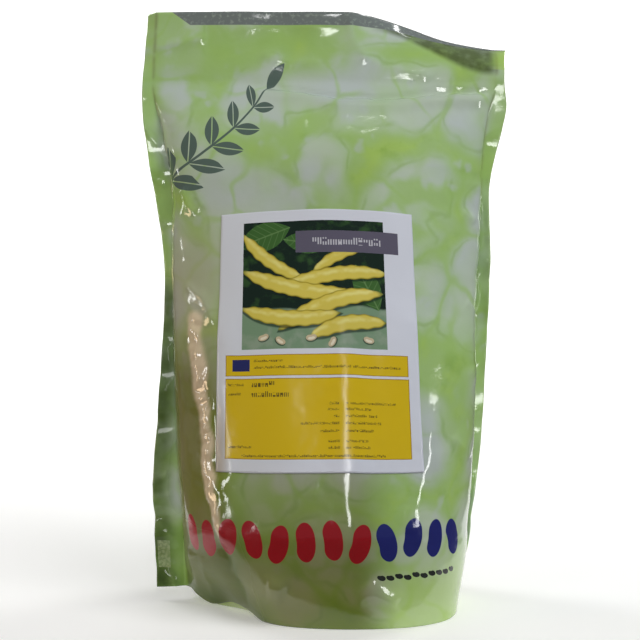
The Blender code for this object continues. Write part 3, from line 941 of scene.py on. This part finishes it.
def text_lines(art, lines, height, colour):
    """Lines of marks like letters, none of which is one, as text looks from too far off."""
    pitch = height * MARK_PITCH
    cell = (art.x * (1 / pitch)).math("FLOOR")
    row = (art.y * (1 / (height * MARK_ROW))).math("FLOOR")
    luck = ((cell * 12.9898 + row * 78.233).math("SINE") * 43758.5).math("FRACT")
    across = art.x * (1 / pitch) - cell
    hole = across.between(0.38, 0.6) * luck.rise(0.4, 0.41)
    mark = across.between(0.12, 0.86) * (1 - hole) * luck.rise(0.16, 0.17)
    body = tall = 0
    for left, right, middle in lines:
        span = art.x.between(left, right)
        shoulder = middle + height * 0.22
        body = body + span * art.y.between(middle - height * 0.5, shoulder)
        tall = tall + span * art.y.between(shoulder, middle + height * 0.5)
    art.ink((body + tall * luck.rise(0.72, 0.73)) * mark * 0.9, colour)


def panels(art):
    """A slate banner, two yellow panels with thin dark edges and a blue block."""
    art.ink(art.box(*BANNER_BOX), BANNER)
    edge = PANEL_EDGE_WIDTH
    for left, right, bottom, top in PANEL_BOXES:
        art.ink(art.box(left, right, bottom, top), PANEL_EDGE)
        art.ink(art.box(left + edge, right - edge, bottom + edge, top - edge), PANEL_YELLOW)
    art.ink(art.box(*BLOCK_BOX), BLOCK_BLUE)


def label_material():
    """Satin paper with a picture, a banner and two yellow panels of unreadable lines."""
    art = Print("label_paper", "sheet", 0.36, 0.0, PAPER)
    art.layer(picture_ground)
    for draw, places in ((picture_leaf, LEAVES), (pod, PODS), (loose_seed, LOOSE_SEEDS)):
        for place in places:
            art.layer(draw, *place)
    art.layer(panels)
    # Painted shade, darker towards the left
    art.shade(art.x.fade(*LEFT_SHADE), LEFT_TINT)
    # Painted brown shade and reflection at the lower left edge
    art.ink(art.x.fade(*BROWN_SHADE_ACROSS) * art.y.fade(*BROWN_SHADE_UP) * 0.65, BROWN_SHADE)
    art.layer(text_lines, BANNER_LINES, BANNER_TEXT_SIZE, BANNER_TEXT)
    art.layer(text_lines, LARGE_LINES, LARGE_TEXT_SIZE, RULE)
    art.layer(text_lines, SMALL_LINES, SMALL_TEXT_SIZE, RULE)
    left_end, right_start = TABLE_GAP
    columns = [(start, left_end, middle) for start, _, middle in TABLE_LINES]
    columns += [(right_start, end, middle) for _, end, middle in TABLE_LINES]
    art.layer(text_lines, columns, SMALL_TEXT_SIZE, RULE)
    roughness = art.noise(20, 3, seed=81).rise(0.3, 0.8) * 0.06 + 0.17
    return art.finish(art.noise(0.9, 4, seed=80), 0.03, roughness)


COAT_DARK, COAT_PALE = (0.62, 0.50, 0.32), (0.82, 0.75, 0.58)


def seed_material():
    """A dry bean's coat: cream, faintly mottled and a little glossy."""
    made, tree, shader = new_material("seed_coat")
    where = add_node(tree, "TexCoord", {}).outputs["Object"]
    inputs = {"Vector": where, "Scale": 420, "Detail": 4}
    mottle = add_node(tree, "TexNoise", inputs).outputs["Fac"]
    ramp = add_node(tree, "ValToRGB", {"Fac": mottle})
    steps = ((0.35, COAT_DARK), (0.62, COAT_PALE))
    for element, (position, colour) in zip(ramp.color_ramp.elements, steps):
        element.position = position
        element.color = (*colour, 1)
    bump = add_node(tree, "Bump", {"Distance": 0.05 * MM, "Height": mottle})
    feed(shader, {"Base Color": ramp.outputs["Color"], "Roughness": 0.38,
                  "Normal": bump.outputs["Normal"]})
    return made


def camera():
    data = bpy.data.cameras.new("camera")
    data.lens = CAMERA_LENS_MM
    data.sensor_width = 36
    obj = link_object("camera", data)
    obj.location = CAMERA_PLACE
    obj.rotation_euler = (math.pi / 2, 0, 0)
    bpy.context.scene.camera = obj


def area_light(name, place, aim, size, watts, colour=(1, 1, 1), mirrored=True):
    data = bpy.data.lights.new(name, "AREA")
    data.shape = "RECTANGLE"
    data.size, data.size_y = size
    data.energy = watts
    data.color = colour
    obj = link_object(name, data)
    obj.location = place
    obj.rotation_euler = (Vector(aim) - Vector(place)).to_track_quat("-Z", "Y").to_euler()
    obj.visible_glossy = mirrored


# The studio's floor, in metres, which curves up into the backdrop
FLOOR_HALF_WIDTH, FLOOR_NEAR, FLOOR_FLAT_TO = 3.0, -2.0, 2.0
FLOOR_LENGTH, COVE_RADIUS = 6.0, 0.8
# The floor is pale from here in front of the pouch, and this far to its sides, wider further off
PALE_FRONT, PALE_SIDE, PALE_WIDENING, PALE_EDGE = (-0.076, -0.071), 0.19, 0.32, 0.03
FLOOR_PALE, FLOOR_DARK = (0.88, 0.88, 0.87), (0.05, 0.04, 0.03)
SKY, SKY_STRENGTH = (0.92, 0.95, 1.0), 0.15
WARM_WHITE = (1.0, 0.72, 0.46)


def floor_material():
    """Pale only where the camera looks, so that the film mirrors a dark room around it."""
    made, tree, shader = new_material("floor")
    art = Design(tree, add_node(tree, "TexCoord", {}).outputs["Object"], FLOOR_DARK)
    beside = abs(art.x) - art.y * PALE_WIDENING - PALE_SIDE
    art.ink(art.y.rise(*PALE_FRONT) * beside.fade(0, PALE_EDGE), FLOOR_PALE)
    feed(shader, {"Base Color": art.colour, "Roughness": 0.7, "Emission Color": art.colour,
                  "Emission Strength": 0.24})
    return made


def studio():
    """A floor that curves up into a backdrop, and lights for the film to mirror as streaks."""
    bm = bmesh.new()
    bmesh.ops.create_grid(bm, x_segments=40, y_segments=60, size=1.0)
    for vert in bm.verts:
        reach = FLOOR_NEAR + FLOOR_LENGTH * (vert.co.y + 1) / 2
        bend = max(reach - FLOOR_FLAT_TO, 0)
        angle = min(bend / COVE_RADIUS, math.pi / 2)
        rise = COVE_RADIUS * (1 - math.cos(angle)) + max(bend - COVE_RADIUS * math.pi / 2, 0)
        depth = min(reach, FLOOR_FLAT_TO) + COVE_RADIUS * math.sin(angle)
        vert.co = Vector((vert.co.x * FLOOR_HALF_WIDTH, depth, rise))
    mesh = bpy.data.meshes.new("floor")
    bm.to_mesh(mesh)
    bm.free()
    mesh.shade_smooth()
    mesh.materials.append(floor_material())
    floor = link_object("floor", mesh)
    world = bpy.data.worlds.new("studio")
    world.use_nodes = True
    feed(world.node_tree.nodes["Background"], {"Color": SKY, "Strength": SKY_STRENGTH})
    bpy.context.scene.world = world
    area_light("key", (0.78, -0.57, 1.4), (0, 0, 0.2), (0.9, 0.9), 10.5, mirrored=False)
    area_light("ceiling", (0.1, -0.6, 1.45), (0, 0, 0.28), (0.08, 0.025), 0.04)
    area_light("backdrop_left", (-1.3, 1.0, 1.6), (-0.2, 2.6, 0.5), (1.2, 1.2), 34)
    area_light("backdrop_right", (1.3, 1.0, 1.6), (0.2, 2.6, 0.5), (1.2, 1.2), 34)
    area_light("strip_middle", (0.15, -1.31, 0.65), (0.02, -0.05, 0.09), (0.18, 0.46), 2.7)
    area_light("strip_left", (-1.0, -1.02, 0.39), (-0.04, -0.05, 0.09), (0.15, 0.36), 1.7)
    area_light("strip_right", (1.19, -0.83, 0.33), (0.06, -0.04, 0.09), (0.2, 0.4), 2.3)
    area_light("far_left", (-1.32, -0.05, 0.3), (-0.06, -0.04, 0.13), (0.05, 0.45), 1.1)
    area_light("warm", (-1.21, -0.35, 0.25), (-0.05, -0.04, 0.1), (0.22, 0.5), 2.6, WARM_WHITE)
    bpy.context.scene.view_settings.view_transform = "Standard"


def film_marks(panel, share, z):
    """Where seeds lie behind the film and painted shade darkens it, its flank of painted warm
    reflection and shade, its seals' roots and its streak of painted tan reflection.
    """
    x = panel.read(panel.x, share, z)
    _, _, root = panel.seams(share, z)
    # Seeds behind the film, and painted shade that grows towards the foot
    filled = smooth(root, 0, 14) * (0.2 + 0.8 * fade(z, 10, 150)) * fade(z, 225, 262)
    marks = {"filled": filled, "root": np.exp(-(root / 0.9) ** 2) * smooth(z, 20, 60)}
    if panel.side < 0:
        # The left flank: painted shade darkens it more, and it carries a painted warm reflection
        left = smooth(-x, 34, 58) * smooth(root, 0, 8)
        # Less painted shade towards the right, and more on the left flank
        filled = filled * (1 - 0.8 * smooth(x, 22, 48))
        marks["filled"] = np.clip(filled + left * fade(z, 95, 165), 0, 1)
        marks["flank"] = left * fade(z, 170, 225) * smooth(z, 20, 50)
        # Painted tan reflection along the lumpy crease on the left
        marks["tan_reflection"] = smooth(tan_patch(x, z), 0.2, 0.7)
    return marks


def film_panel(name, node, side, grid, made_of):
    panel = Panel(side)
    share, z = panel_grid(*grid)
    left, right, _ = panel.seams(share, z)
    flat = {"film": ((left - right) / 2, z), "seam": (left, right)}
    obj = grid_object(name, panel.lay(share, z), flat, film_marks(panel, share, z), made_of)
    thicken(obj, FILM, -side)
    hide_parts(node)
    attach(obj, "root")
    return panel


def gusset(front, back, made_of):
    """The web under the seeds: flat on the surface in the middle, rising to both sides."""
    across, depth = sheet_grid(*GUSSET_GRID)
    share = blend(*GUSSET_SPAN, across)
    height = GUSSET_EDGE_HEIGHT + GUSSET_SIDE_RISE * np.abs(2 * share - 1) ** 4
    inset = np.array([0, GUSSET_INSET, 0])
    near = front.lay(share, height, smooth_only=True) + inset
    far = back.lay(share, height, smooth_only=True) - inset
    points = blend(near, far, depth[:, :, None])
    middle = smooth((0.92 - np.abs(2 * share - 1)) / 0.4)
    sag = middle * smooth(2.6 * (1 - np.abs(2 * depth - 1)))
    points[:, :, 2] = height * (1 - sag)
    flat = {"film": (front.seams(share, height)[0], depth * GUSSET_DEPTH),
            "seam": [np.full_like(share, GUSSET_FROM_SEAM)] * 2}
    marks = {"filled": np.full_like(share, 0.6)}
    obj = grid_object("film_gusset", points, flat, marks, made_of)
    thicken(obj, FILM, 1.0)
    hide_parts("bottom_gusset")
    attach(obj, "root")


def label(front, made_of):
    """The paper label, laid on the creased front film."""
    across, up = sheet_grid(*LABEL_GRID)
    droop = blend(*LABEL_DROOP, up)
    z = blend(LABEL_BOTTOM, LABEL_TOP, up) - droop * (2 * across - 1) ** 2
    centre = blend(*LABEL_CENTRE, up)
    x = centre + LABEL_HALF_WIDTH * (2 * across - 1)
    points = front.lay(front.share_at(x, z), z)
    points = points + outward_normals(points, -1) * (FILM + LABEL_GAP)
    sheet = {"sheet": (across * LABEL_SHEET[0], up * LABEL_SHEET[1])}
    obj = grid_object("paper_label", points, sheet, {}, made_of)
    thicken(obj, LABEL_PAPER, 1.0)
    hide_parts("product_label")
    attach(obj, "root")


camera()
studio()
printed_film = film_material("printed_film", (sprig, seed_row, header_band))
back_film = film_material("back_film", (header_band,))
front_panel = film_panel("film_front", "front_panel", -1, FRONT_GRID, printed_film)
back_panel = film_panel("film_back", "back_panel", 1, BACK_GRID, back_film)
gusset(front_panel, back_panel, back_film)
label(front_panel, label_material())
seed_coat = seed_material()
for obj in bpy.data.objects:
    if obj.name.startswith(("bean_seed", "seed_bed")):
        for slot in obj.material_slots:
            slot.material = seed_coat
